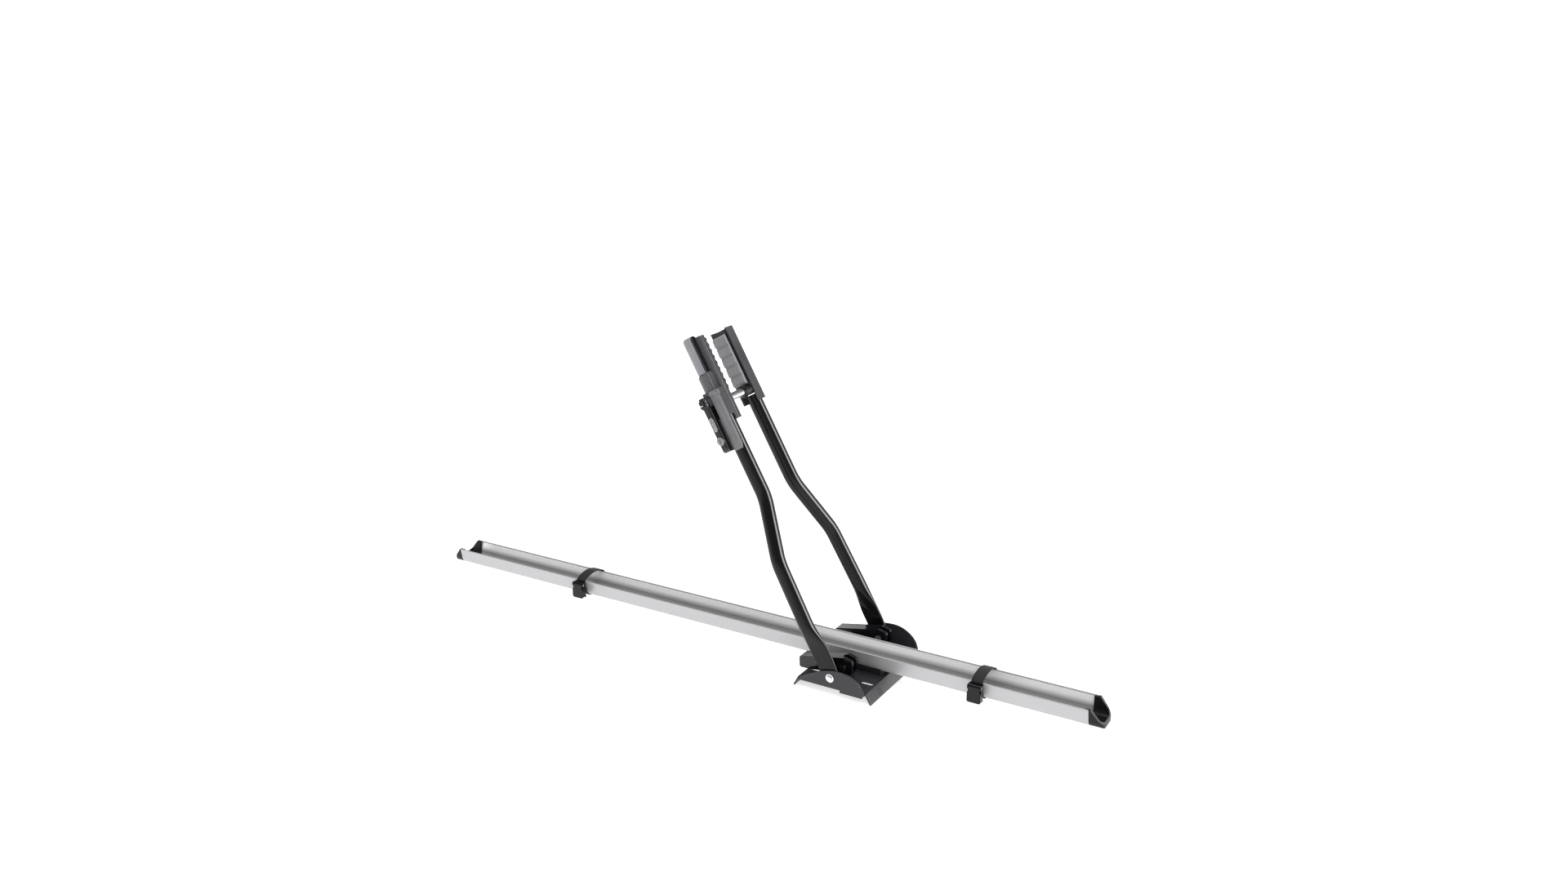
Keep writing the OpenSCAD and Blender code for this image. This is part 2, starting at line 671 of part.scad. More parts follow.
// Side outline of a lever: hollowed under the handle, round where it bears on the saddle.
cam_outline = concat(
    arc(grip_x, grip_low, grip_r, 180, 264, 6),
    curve([[grip_x + 8, grip_low - grip_r + 0.3], [-50, 12.8], [-34, 14.8], [-18, 15.2], [-4, 15.1]], 4),
    arc(cam_x, cam_z, cam_hub, 256, 340, 14),
    arc(cam_x + heel_x, cam_z + heel_z, heel_r, 0, 84, 6),
    arc(cam_x, cam_z, cam_hub, 62, 101, 8),
    arc(grip_x, grip_top, grip_r, 101, 180, 6)
);

module cam_lever() color([0.07, 0.07, 0.075]) difference() {
    along_y(-cam_y - cam_w / 2, cam_w) polygon(cam_outline);
    translate([cam_x - 5.4, -cam_y - 4.7, 0]) cube([60, 9.4, 80]);
    translate([cam_x, 0, cam_z]) rod_y(-cam_y - 20, 40, 6 + run);
}

module cam_pin() color([0.72, 0.72, 0.73]) translate([cam_x, 0, cam_z]) rod_y(-cam_y - cam_w / 2, cam_w, 6);

module cam_saddle() color([0.1, 0.1, 0.1]) difference() {
    translate([cam_x, -cam_y, sheet]) slab(20, cam_w, 11.1, 3);
    translate([cam_x, -cam_y, 0]) cylinder(h = 30, r = bolt_r + 0.3);
}

// Bolt whose head slides in the roof bar's T-slot.
module t_bolt() color([0.72, 0.72, 0.73]) translate([cam_x, -cam_y, 0]) {
    difference() {
        translate([0, 0, -12]) cylinder(h = cam_z + 12, r = bolt_r);
        translate([0, 0, cam_z]) rod_y(-20, 40, 6);
    }
    translate([-9, -6, -15]) cube([18, 12, 4]);
}

module cam_lever_near() cam_lever();
module cam_lever_far() far_side() cam_lever();
module cam_pin_near() cam_pin();
module cam_pin_far() far_side() cam_pin();
module cam_saddle_near() cam_saddle();
module cam_saddle_far() far_side() cam_saddle();
module t_bolt_near() t_bolt();
module t_bolt_far() far_side() t_bolt();

base_plate();
tray_saddle();
wheel_tray();
tray_bolts();
tray_nuts();
end_cap_front();
end_cap_rear();
strap_front();
strap_rear();
buckle_body_front();
buckle_body_rear();
buckle_lever_front();
buckle_lever_rear();
buckle_pin_front();
buckle_pin_rear();
pivot_bolt_near();
pivot_bolt_far();
pivot_nut_near();
pivot_nut_far();
arm_tube_near();
arm_tube_far();
near_head();
near_jaw_cover();
near_sleeve();
near_pad();
clamp_housing();
adjuster_knob();
label_plate();
lock_barrel();
lock_plug();
clamp_lever();
clamp_pin();
spindle();
spindle_collar();
far_jaw();
far_jaw_carrier();
far_pad();
far_tube_plug();
cam_lever_near();
cam_lever_far();
cam_pin_near();
cam_pin_far();
cam_saddle_near();
cam_saddle_far();
t_bolt_near();
t_bolt_far();
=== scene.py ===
import json
import math
import bmesh
import bpy
from mathutils import Matrix, Vector

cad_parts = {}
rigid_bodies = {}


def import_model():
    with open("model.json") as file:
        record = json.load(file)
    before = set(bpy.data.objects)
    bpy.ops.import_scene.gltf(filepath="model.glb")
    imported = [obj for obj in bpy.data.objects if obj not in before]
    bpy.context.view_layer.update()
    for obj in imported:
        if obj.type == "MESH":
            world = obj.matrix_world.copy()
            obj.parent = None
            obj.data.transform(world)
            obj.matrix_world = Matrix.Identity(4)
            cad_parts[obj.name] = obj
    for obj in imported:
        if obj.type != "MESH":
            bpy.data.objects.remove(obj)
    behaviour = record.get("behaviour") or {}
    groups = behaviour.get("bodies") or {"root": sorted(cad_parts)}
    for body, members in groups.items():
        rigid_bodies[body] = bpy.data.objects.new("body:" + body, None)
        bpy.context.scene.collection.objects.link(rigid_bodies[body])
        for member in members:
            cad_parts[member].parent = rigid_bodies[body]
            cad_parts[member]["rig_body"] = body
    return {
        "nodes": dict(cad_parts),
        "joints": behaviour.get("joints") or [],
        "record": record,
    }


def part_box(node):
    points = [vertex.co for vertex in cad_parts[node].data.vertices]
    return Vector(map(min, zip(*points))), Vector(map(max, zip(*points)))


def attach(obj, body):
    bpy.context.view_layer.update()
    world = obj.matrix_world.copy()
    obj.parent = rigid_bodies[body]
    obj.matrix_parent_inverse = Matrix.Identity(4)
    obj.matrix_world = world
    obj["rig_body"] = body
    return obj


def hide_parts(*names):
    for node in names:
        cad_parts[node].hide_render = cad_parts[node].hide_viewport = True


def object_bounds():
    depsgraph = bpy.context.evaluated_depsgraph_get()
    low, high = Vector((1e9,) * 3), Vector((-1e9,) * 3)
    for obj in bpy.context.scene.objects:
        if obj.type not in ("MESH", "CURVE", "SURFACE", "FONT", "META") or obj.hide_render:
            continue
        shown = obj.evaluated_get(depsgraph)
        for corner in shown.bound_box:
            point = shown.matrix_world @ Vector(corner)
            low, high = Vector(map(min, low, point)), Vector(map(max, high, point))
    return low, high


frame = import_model()
cad_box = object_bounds()
nodes = frame["nodes"]
scene = bpy.context.scene

MM = 0.001

# Places in metres that more than one piece needs, read from the frame. The arm frame stands on the arms'
# pivot, with Z up along the straight part of the arms and X towards the tray's short end.
joints = {j["name"]: j for j in frame["joints"]}
pivot = Vector(joints["arms_fold"]["pos_m"])
arm_dir = Vector(joints["adjuster_turn"]["axis"]).normalized()
arm_front = Vector((arm_dir.z, 0, -arm_dir.x))
arm_frame = Matrix((arm_front, Vector((0, 1, 0)), arm_dir)).transposed().to_4x4()
arm_frame.translation = pivot


# ---- Material helpers ----

NOISE_LOW, NOISE_HIGH = 0.3, 0.7    # most of a noise texture's values lie between these


class Shader:
    """A Principled material whose colour, roughness and bump come from small node chains."""

    def __init__(self, name, color, rough, metal=0.0):
        self.mat = bpy.data.materials.new(name)
        self.mat.use_nodes = True
        self.nodes = self.mat.node_tree.nodes
        self.links = self.mat.node_tree.links
        self.bsdf = self.nodes["Principled BSDF"]
        self.bsdf.inputs["Base Color"].default_value = (*color, 1)
        self.bsdf.inputs["Roughness"].default_value = rough
        self.bsdf.inputs["Metallic"].default_value = metal
        self.color = color
        self.relief = None

    def put(self, **values):
        """Constants on the shader's own inputs."""
        for name, value in values.items():
            self.bsdf.inputs[name.replace("_", " ")].default_value = value
        return self

    def coords(self, scale=(1, 1, 1), space="Object"):
        geometry = self.nodes.new("ShaderNodeTexCoord")
        mapping = self.nodes.new("ShaderNodeMapping")
        mapping.inputs["Scale"].default_value = scale
        self.links.new(geometry.outputs[space], mapping.inputs["Vector"])
        return mapping.outputs["Vector"]

    def noise(self, scale, detail, stretch=(1, 1, 1)):
        node = self.nodes.new("ShaderNodeTexNoise")
        node.inputs["Scale"].default_value = scale
        node.inputs["Detail"].default_value = detail
        self.links.new(self.coords(stretch), node.inputs["Vector"])
        return node.outputs["Fac"]

    def wave(self, scale, axis, distortion=0.0):
        """Even waves over the piece's own UV map."""
        node = self.nodes.new("ShaderNodeTexWave")
        node.bands_direction = axis
        node.inputs["Scale"].default_value = scale
        node.inputs["Distortion"].default_value = distortion
        self.links.new(self.coords(space="UV"), node.inputs["Vector"])
        return node.outputs["Fac"]

    def place(self, axis):
        """The object coordinate along one axis."""
        split = self.nodes.new("ShaderNodeSeparateXYZ")
        self.links.new(self.coords(), split.inputs["Vector"])
        return split.outputs[axis]

    def remap(self, value, low, high, from_low=0.0, from_high=1.0):
        node = self.nodes.new("ShaderNodeMapRange")
        node.inputs["From Min"].default_value = from_low
        node.inputs["From Max"].default_value = from_high
        node.inputs["To Min"].default_value = low
        node.inputs["To Max"].default_value = high
        self.links.new(value, node.inputs["Value"])
        return node.outputs["Result"]

    def math(self, operation, a, b):
        node = self.nodes.new("ShaderNodeMath")
        node.operation = operation
        for socket, value in zip(node.inputs, (a, b)):
            if isinstance(value, (int, float)):
                socket.default_value = value
            else:
                self.links.new(value, socket)
        return node.outputs["Value"]

    def tint(self, value, dark, light):
        """Base colour between dark and light multiples of the colour."""
        node = self.nodes.new("ShaderNodeMix")
        node.data_type = "RGBA"
        node.inputs["A"].default_value = (*[min(c * dark, 1) for c in self.color], 1)
        node.inputs["B"].default_value = (*[min(c * light, 1) for c in self.color], 1)
        self.links.new(value, node.inputs["Factor"])
        self.links.new(node.outputs["Result"], self.bsdf.inputs["Base Color"])
        return self

    def vary_rough(self, value, low, high):
        spread = self.remap(value, low, high, NOISE_LOW, NOISE_HIGH)
        self.links.new(spread, self.bsdf.inputs["Roughness"])
        return self

    def bump(self, value, strength, distance):
        node = self.nodes.new("ShaderNodeBump")
        node.inputs["Strength"].default_value = strength
        node.inputs["Distance"].default_value = distance
        self.links.new(value, node.inputs["Height"])
        if self.relief is not None:
            self.links.new(self.relief, node.inputs["Normal"])
        self.relief = node.outputs["Normal"]
        self.links.new(self.relief, self.bsdf.inputs["Normal"])
        return self


# ---- Materials ----

TROUGH_SHADE_LOW, TROUGH_SHADE_HIGH = 0.022, 0.033    # heights in metres over which the painted shade in the trough fades from dark to bright


def powder_coat(name, color, rough, specular):
    m = Shader(name, color, rough).put(Specular_IOR_Level=specular)
    grain = m.noise(900, 2)
    cloud = m.noise(14, 3)
    m.tint(cloud, 0.8, 1.2).vary_rough(cloud, rough - 0.05, rough + 0.08)
    m.bump(grain, 0.16, 0.0004)
    return m.mat


def gloss_paint(name, color, rough):
    m = Shader(name, color, rough)
    m.put(Coat_Weight=0.4, Coat_Roughness=0.05, Specular_IOR_Level=0.04)
    cloud = m.noise(22, 2)
    peel = m.noise(240, 2)
    m.tint(cloud, 0.85, 1.2).vary_rough(cloud, rough - 0.03, rough + 0.05)
    m.bump(peel, 0.04, 0.0005)
    return m.mat


def moulded(name, color, rough, grain=0.25, coat=0.0, specular=0.35):
    m = Shader(name, color, rough)
    m.put(Coat_Weight=coat, Coat_Roughness=0.12, Specular_IOR_Level=specular)
    spark = m.noise(1300, 2)
    cloud = m.noise(30, 3)
    m.tint(cloud, 0.8, 1.25).vary_rough(cloud, rough - 0.05, rough + 0.07)
    m.bump(spark, grain, 0.0003)
    return m.mat


def rubber(name, color, specular=0.35):
    m = Shader(name, color, 0.62).put(Specular_IOR_Level=specular)
    spark = m.noise(1600, 3)
    bloom = m.noise(40, 4)
    m.tint(bloom, 0.8, 1.2).vary_rough(bloom, 0.52, 0.7)
    m.bump(spark, 0.35, 0.0003)
    return m.mat


def extruded_aluminium(name, color, trough=False):
    """Anodised extrusion: faint die lines along X over a soft satin; with trough, painted shade darkens the
    colour down in the trough.
    """
    m = Shader(name, color, 0.36, 0.4)
    lines = m.noise(500, 2, (0.003, 1, 1))
    cloud = m.noise(4, 3, (0.3, 1, 1))
    if trough:
        # painted shade: the colour darkens towards the bottom of the trough
        height = m.math("ADD", m.place("Z"), m.remap(cloud, -MM, MM))
        trough_shade = m.remap(height, 0, 1, TROUGH_SHADE_LOW, TROUGH_SHADE_HIGH)
        m.tint(m.math("SUBTRACT", trough_shade, m.remap(lines, 0, 0.05)), 0.3, 1.1)
    else:
        m.tint(lines, 0.97, 1.02)
    m.vary_rough(cloud, 0.32, 0.42)
    m.bump(lines, 0.02, 0.0002)
    return m.mat


def turned_steel(name, color, rough):
    m = Shader(name, color, rough, 1.0)
    lines = m.noise(1400, 2, (1, 0.05, 1))
    cloud = m.noise(90, 3)
    m.tint(cloud, 0.85, 1.1).vary_rough(lines, rough - 0.06, rough + 0.1)
    m.bump(lines, 0.08, 0.0002)
    return m.mat


def webbing(name, color):
    """Woven strap: lengthwise yarns crossed by picks, over the ribbon's own width and length."""
    m = Shader(name, color, 0.72).put(Sheen_Weight=0.12, Sheen_Roughness=0.4, Specular_IOR_Level=0.3)
    yarn = m.wave(250, "X")
    pick = m.wave(210, "Y", 0.6)
    weave = m.math("MULTIPLY", yarn, pick)
    dust = m.noise(60, 3)
    m.tint(m.math("MULTIPLY", weave, dust), 0.45, 3.0)
    m.bump(weave, 0.55, 0.0005)
    return m.mat


def speckled(name, color):
    """Blank plate with a stippled face."""
    m = Shader(name, color, 0.4)
    stipple = m.noise(420, 4)
    m.tint(m.remap(stipple, 0.0, 1.0, 0.42, 0.58), 0.5, 1.5)
    m.bump(stipple, 0.4, 0.0003)
    return m.mat


FINISHES = {
    "base_paint": powder_coat("base_paint", (0.024, 0.0235, 0.027), 0.36, 0.34),
    "saddle_plastic": moulded("saddle_plastic", (0.012, 0.012, 0.013), 0.5, specular=0.2),
    # One aluminium finish in two copies: the outside is painted darker as painted shade, the inside lighter as
    # painted light
    "tray_aluminium": extruded_aluminium("tray_aluminium", (0.41, 0.41, 0.418)),
    "tray_inside_painted_light_and_shade": extruded_aluminium("tray_inside_painted_light_and_shade", (0.94, 0.94, 0.95), trough=True),
    "zinc_steel": turned_steel("zinc_steel", (0.9, 0.9, 0.91), 0.3),
    "spindle_steel": turned_steel("spindle_steel", (0.6, 0.6, 0.61), 0.2),
    "lock_steel": turned_steel("lock_steel", (0.24, 0.24, 0.245), 0.35),
    "cap_plastic": moulded("cap_plastic", (0.006, 0.006, 0.007), 0.4, 0.3, specular=0.18),
    "webbing": webbing("webbing", (0.012, 0.012, 0.013)),
    "buckle_plastic": moulded("buckle_plastic", (0.003, 0.003, 0.004), 0.22, 0.06, 0.2, 0.15),
    "arm_paint": gloss_paint("arm_paint", (0.004, 0.004, 0.005), 0.2),
    "head_paint": powder_coat("head_paint", (0.042, 0.042, 0.047), 0.3, 0.25),
    # painted shade: black for the recess of the flute beside the jaw
    "flute_painted_shade": moulded("flute_painted_shade", (0.003, 0.003, 0.004), 0.3, 0.05, specular=0.2),
    "cover_plastic": moulded("cover_plastic", (0.2, 0.2, 0.218), 0.34, 0.15),
    "sleeve_plastic": moulded("sleeve_plastic", (0.085, 0.085, 0.094), 0.34, 0.15),
    "pad_rubber": rubber("pad_rubber", (0.2, 0.2, 0.208)),
    "tooth_rubber": rubber("tooth_rubber", (0.006, 0.006, 0.006), 0.2),
    "housing_plastic": moulded("housing_plastic", (0.005, 0.005, 0.006), 0.26, 0.08, 0.3, 0.2),
    "label_grey": speckled("label_grey", (0.22, 0.22, 0.22)),
    "lever_metal": powder_coat("lever_metal", (0.15, 0.15, 0.158), 0.28, 0.22),
    "cam_plastic": moulded("cam_plastic", (0.003, 0.003, 0.004), 0.16, 0.05, 0.5, 0.2),
}
SLOT_OF = {s["node"]: s["material_slot"] for s in frame["record"]["subparts"]}


def paint(obj, slot):
    obj.data.materials.clear()
    obj.data.materials.append(FINISHES[slot])
    return obj


for name, obj in nodes.items():
    paint(obj, SLOT_OF[name])


# ---- Rounded copies of CAD solids ----

SHARP = math.radians(30)    # edges sharper than this are rounded and stay sharp in the shading
FLAT = math.radians(0.6)    # faces closer to one plane than this are joined
WELD = 1e-6


def rounded_copy(name, width):
    """A copy of a CAD solid whose sharp edges are rounded, so that they catch the light."""
    source = nodes[name]
    obj = bpy.data.objects.new(name + "_skin", source.data.copy())
    scene.collection.objects.link(obj)
    mesh = bmesh.new()
    mesh.from_mesh(obj.data)
    bmesh.ops.remove_doubles(mesh, verts=mesh.verts, dist=WELD)
    bmesh.ops.dissolve_limit(mesh, angle_limit=FLAT, verts=mesh.verts, edges=mesh.edges)
    for edge in mesh.edges:
        edge.smooth = edge.calc_face_angle(math.pi) < SHARP
    mesh.to_mesh(obj.data)
    mesh.free()
    for face in obj.data.polygons:
        face.use_smooth = True
    obj.data.normals_split_custom_set([(0, 0, 0)] * len(obj.data.loops))
    bevel = obj.modifiers.new("round", "BEVEL")
    bevel.width = width
    bevel.segments = 3
    bevel.limit_method = "ANGLE"
    bevel.angle_limit = SHARP
    bevel.use_clamp_overlap = True
    bevel.harden_normals = True
    paint(obj, SLOT_OF[name])
    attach(obj, source["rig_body"])
    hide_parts(name)
    return obj


# Radius of each piece's rounded edges, in metres
ROUNDING = {
    "base_plate": 0.0007,
    "tray_saddle": 0.0008,
    "spindle": 0.0006,
    "spindle_collar": 0.0008,
    "far_jaw_carrier": 0.0006,
    "far_tube_plug": 0.0006,
    "lock_barrel": 0.0003,
    "lock_plug": 0.0003,
    "clamp_pin": 0.0004,
    "cam_pin_near": 0.0004,
    "cam_pin_far": 0.0004,
    "end_cap_front": 0.0008,
    "end_cap_rear": 0.0008,
    "near_head": 0.0012,
    "near_jaw_cover": 0.001,
    "near_sleeve": 0.001,
    "clamp_housing": 0.0012,
    "clamp_lever": 0.001,
    "far_jaw": 0.001,
    "far_pad": 0.0008,
    "near_pad": 0.0006,
    "cam_lever_near": 0.0022,
    "cam_lever_far": 0.0022,
    "buckle_body_front": 0.0006,
    "buckle_body_rear": 0.0006,
    "buckle_lever_front": 0.0008,
    "buckle_lever_rear": 0.0008,
    "cam_saddle_near": 0.0008,
    "cam_saddle_far": 0.0008,
    "label_plate": 0.0003,
    "adjuster_knob": 0.0003,
}
# The moulded flute beside the jaw: its axis and its reach in the arm frame, and how far the black painted
# shade in it goes past the cover's ends
FLUTE = Vector((0.0115, -0.0575))
FLUTE_REACH = 0.0069
SHADED_BELOW, SHADED_ABOVE = 0.001, 0.05
to_arm = arm_frame.inverted()


def paint_flute_shade(obj, low, high):
    """Paints shade into the flute as black, between two heights in the arm frame."""
    obj.data.materials.append(FINISHES["flute_painted_shade"])
    for face in obj.data.polygons:
        spot = to_arm @ face.center
        away = (Vector((spot.x, spot.y)) - FLUTE).length
        if away < FLUTE_REACH and low < spot.z < high:
            face.material_index = 1


skins = {name: rounded_copy(name, width) for name, width in ROUNDING.items()}
for name, slot in (("clamp_pin", "lever_metal"), ("lock_plug", "lock_steel")):
    paint(skins[name], slot)
cover_heights = [(to_arm @ v.co).z for v in nodes["near_jaw_cover"].data.vertices]
# painted shade: the flute's faces on the cover and the head turn black
for name in ("near_jaw_cover", "near_head"):
    paint_flute_shade(skins[name], min(cover_heights) - SHADED_BELOW, max(cover_heights) + SHADED_ABOVE)


# ---- Mesh helpers ----

def new_piece(name, verts, faces, slot, body, uvs=None):
    data = bpy.data.meshes.new(name)
    data.from_pydata([tuple(v) for v in verts], [], faces)
    data.validate()
    obj = bpy.data.objects.new(name, data)
    scene.collection.objects.link(obj)
    mesh = bmesh.new()
    mesh.from_mesh(data)
    bmesh.ops.recalc_face_normals(mesh, faces=mesh.faces)
    mesh.to_mesh(data)
    mesh.free()
    for face in data.polygons:
        face.use_smooth = True
    if uvs:
        layer = data.uv_layers.new(name="weave")
        for loop in data.loops:
            layer.data[loop.index].uv = uvs[loop.vertex_index]
    paint(obj, slot)
    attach(obj, body)
    return obj


def sharpen(obj, angle):
    """Smooth shading that keeps the edges sharper than an angle in degrees."""
    mesh = bmesh.new()
    mesh.from_mesh(obj.data)
    for edge in mesh.edges:
        edge.smooth = edge.calc_face_angle(math.pi) < math.radians(angle)
    mesh.to_mesh(obj.data)
    mesh.free()


def loft(rings):
    """Vertices and faces of a closed skin over equal rings."""
    count = len(rings[0])
    verts = [v for ring in rings for v in ring]
    faces = []
    for i in range(len(rings) - 1):
        for k in range(count):
            a, b = i * count + k, i * count + (k + 1) % count
            faces.append((a, b, b + count, a + count))
    faces.append(tuple(range(count))[::-1])
    faces.append(tuple(range(len(verts) - count, len(verts))))
    return verts, faces


LATHE_STEPS = 48
LATHE_TIP = 0.01    # smallest radius in mm, so that the end rings never close on one point


def lathe(name, origin, axis, profile, slot, body, nodes_replaced=()):
    """A turned piece: profile is (radius, place along the axis) pairs in mm."""
    axis = Vector(axis).normalized()
    side = axis.orthogonal().normalized()
    other = axis.cross(side)
    rings = []
    for radius, along in profile:
        ring = []
        for k in range(LATHE_STEPS):
            turn = 2 * math.pi * k / LATHE_STEPS
            out = (side * math.cos(turn) + other * math.sin(turn)) * max(radius, LATHE_TIP)
            ring.append(Vector(origin) + MM * (axis * along + out))
        rings.append(ring)
    obj = new_piece(name, *loft(rings), slot, body)
    sharpen(obj, 35)
    if nodes_replaced:
        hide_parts(*nodes_replaced)
    return obj


# ---- Wheel tray ----

# The section in mm: half widths at the top and the floor, heights, wall, corner radius, beads on the edges
TRAY_HALF, TRAY_LOW_HALF, TRAY_TOP, TRAY_FLOOR = 31, 27.6, 44.6, 10.4
TRAY_WALL, TRAY_CORNER = 2, 15
BEAD_R, BEAD_IN, BEAD_DOWN = 1.5, 1.1, 0.4
CORNER_STEPS, BEAD_STEPS = 16, 20
LEAN = 10    # the corner arcs stop this many degrees before upright


def arc_points(cy, cz, radius, start, end, count):
    """Points (y, z) on an arc, with its start and end in degrees."""
    return [(cy + radius * math.cos(math.radians(start + (end - start) * k / count)),
             cz + radius * math.sin(math.radians(start + (end - start) * k / count)))
            for k in range(count + 1)]


def tray_skin():
    """The extrusion in one piece, with its beaded edges; the inside gets a lighter copy of the finish as
    painted light, with painted shade down in the trough.
    """
    middle, centre = TRAY_LOW_HALF - TRAY_CORNER, TRAY_FLOOR + TRAY_CORNER
    inside = TRAY_CORNER - TRAY_WALL
    outer = (arc_points(-middle, centre, TRAY_CORNER, 180 + LEAN, 270, CORNER_STEPS)
             + arc_points(middle, centre, TRAY_CORNER, 270, 360 - LEAN, CORNER_STEPS))
    inner = (arc_points(middle, centre, inside, 360 - LEAN, 270, CORNER_STEPS)
             + arc_points(-middle, centre, inside, 270, 180 + LEAN, CORNER_STEPS))
    bead_y, bead_z = TRAY_HALF - BEAD_IN, TRAY_TOP - BEAD_DOWN
    outline = (outer + arc_points(bead_y, bead_z, BEAD_R, -56, 230, BEAD_STEPS)
               + inner + arc_points(-bead_y, bead_z, BEAD_R, -50, 236, BEAD_STEPS))
    low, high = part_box("wheel_tray")
    rings = [[Vector((x, y * MM, z * MM)) for y, z in outline] for x in (low[0], high[0])]
    obj = new_piece("tray_skin", *loft(rings), "tray_aluminium", "carrier")
    sharpen(obj, 30)
    obj.data.materials.append(FINISHES["tray_inside_painted_light_and_shade"])
    first = len(outer) + BEAD_STEPS + 1
    for face in obj.data.polygons:
        ring = sorted(v % len(outline) for v in face.vertices)
        if len(ring) == 4 and first - 1 <= ring[0] and ring[-1] <= first + len(inner):
            face.material_index = 1
    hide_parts("wheel_tray")


tray_skin()


# ---- Arms: tubes flattened into feet ----

# In mm and in the arm frame: distances of foot, tube and head from the middle plane
FOOT_Y, ARM_Y, HEAD_Y = 99.2, 103, 51
# Heights where the foot has its full width, stops being flat, is round, and where the tube ends
WIDE_S, FLAT_S, ROUND_S, TUBE_TOP = 30, 50, 105, 528
# Radii of the tube and the foot's end, half the foot's width and thickness
TUBE_R, FOOT_R, FOOT_HALF, FOOT_T = 14, 16.2, 19, 3
# Slopes towards the middle plane below the first bend and between the bends; the bends' radius; the lower run
DRIFT, CRANK = math.radians(2.3), math.radians(22)
BEND_R, LOW_RUN = 90, 109
FOOT_END_STEPS, FOOT_END_TURN = 8, math.radians(90) * 0.93


def tube_line():
    """Centre line of the round part of an arm: (distance from the middle plane, height, slope) in mm."""
    shift = (ARM_Y - HEAD_Y - LOW_RUN * math.sin(DRIFT)
             - BEND_R * (math.cos(DRIFT) - math.cos(CRANK)) - BEND_R * (1 - math.cos(CRANK)))
    middle = shift / math.sin(CRANK)
    y, z, slope = ARM_Y, ROUND_S, DRIFT
    line = [(y, z, slope)]
    for length, turn in ((LOW_RUN, 0), (BEND_R * (CRANK - DRIFT), CRANK - DRIFT), (middle, 0),
                         (BEND_R * CRANK, -CRANK)):
        steps = 16 if turn else 4
        for _ in range(steps):
            slope += turn / steps / 2
            y -= math.sin(slope) * length / steps
            z += math.cos(slope) * length / steps
            slope += turn / steps / 2
            line.append((y, z, slope))
    line.append((y, TUBE_TOP, 0))
    return line


def stadium(half, thick, count=48):
    """Outline with round ends: half its width, half its thickness."""
    points = []
    for k in range(count):
        turn = 2 * math.pi * (k + 0.5) / count
        across = math.copysign(max(half - thick, 0), math.cos(turn))
        points.append((across + min(half, thick) * math.cos(turn), thick * math.sin(turn)))
    return points


def arm_skin(side, node):
    """One arm's tube: sections of (distance, height, slope, half width, half depth) from its foot's end up."""
    sections = []
    for k in range(FOOT_END_STEPS + 1):
        turn = FOOT_END_TURN * (1 - k / FOOT_END_STEPS)
        sections.append((FOOT_Y, -FOOT_R * math.sin(turn), 0, FOOT_R * math.cos(turn), FOOT_T))
    for s in (8, 16, 24, WIDE_S, 40, FLAT_S):
        half = min(FOOT_R + (FOOT_HALF - FOOT_R) * s / WIDE_S, FOOT_HALF)
        sections.append((FOOT_Y, s, 0, half, FOOT_T))
    for k in range(1, 16):
        t = k / 16
        grown = t * t * (3 - 2 * t)
        sections.append((
            FOOT_Y + (ARM_Y - FOOT_Y) * grown, FLAT_S + (ROUND_S - FLAT_S) * t, 0,
            FOOT_HALF + (TUBE_R - FOOT_HALF) * grown, FOOT_T + (TUBE_R - FOOT_T) * grown))
    for y, z, slope in tube_line():
        sections.append((y, z, slope, TUBE_R, TUBE_R))
    rings = []
    for y, z, slope, half, thick in sections:
        ring = []
        for across, out in stadium(half, thick):
            local = Vector((across, side * (y + out * math.cos(slope)), z + out * math.sin(slope)))
            ring.append(arm_frame @ (local * MM))
        rings.append(ring)
    obj = new_piece("arm_skin_" + node, *loft(rings), "arm_paint", "arms")
    sharpen(obj, 40)
    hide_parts("arm_tube_" + node)


arm_skin(-1, "near")
arm_skin(1, "far")


# ---- Turned fittings ----

THREAD_PITCH, THREAD_DEPTH = 1.25, 0.45
BOLT_HEAD = 5.4    # from the outer end of a pivot bolt's head to the ear, in mm


def thread(radius, start, end):
    """Profile of a threaded stretch, as a row of rings."""
    profile = []
    along = start
    while along + THREAD_PITCH <= end:
        profile += [(radius, along), (radius, along + 0.15 * THREAD_PITCH),
                    (radius - THREAD_DEPTH, along + 0.55 * THREAD_PITCH)]
        along += THREAD_PITCH
    return profile + [(radius - THREAD_DEPTH, end)]


def pivot_bolt(side, node):
    """Washer, domed head with a turned rim, shank and the thread beyond the nut."""
    half = -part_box("pivot_bolt_near")[0][1] / MM - BOLT_HEAD
    profile = [(0.1, -5.3), (2.2, -5.25), (4.2, -4.8), (5.6, -3.9), (6.3, -2.7), (6.4, -1.4), (6.5, -1.2),
               (8, -1.15), (8, -0.1), (7.9, 0), (4, 0.05), (4, 12)]
    profile += thread(4, 12.2, 18.6) + [(0.1, 19)]
    lathe("pivot_bolt_skin_" + node, (0, side * half * MM, pivot.z), (0, -side, 0), profile,
          "zinc_steel", "carrier", ("pivot_bolt_" + node,))


pivot_bolt(-1, "near")
pivot_bolt(1, "far")


def cam_cap(side, node):
    """Moulded cap over the end of a cam lever's pin."""
    hinge = joints["cam_" + node + "_open"]["pos_m"]
    low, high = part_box("cam_lever_" + node)
    face = low[1] if side < 0 else high[1]
    lathe("cam_cap_" + node, (hinge[0], face, hinge[2]), (0, side, 0),
          [(6.05, -0.6), (6.05, 0.02), (5.8, 0.16), (5.0, 0.24), (3.6, 0.24), (3.3, 0.12), (0.1, 0.1)],
          "cam_plastic", "cam_" + node)


cam_cap(-1, "near")
cam_cap(1, "far")


# ---- Wheel straps ----

STRAP_W, STRAP_T, STRAP_COLUMNS = 21.6, 2.0, 14
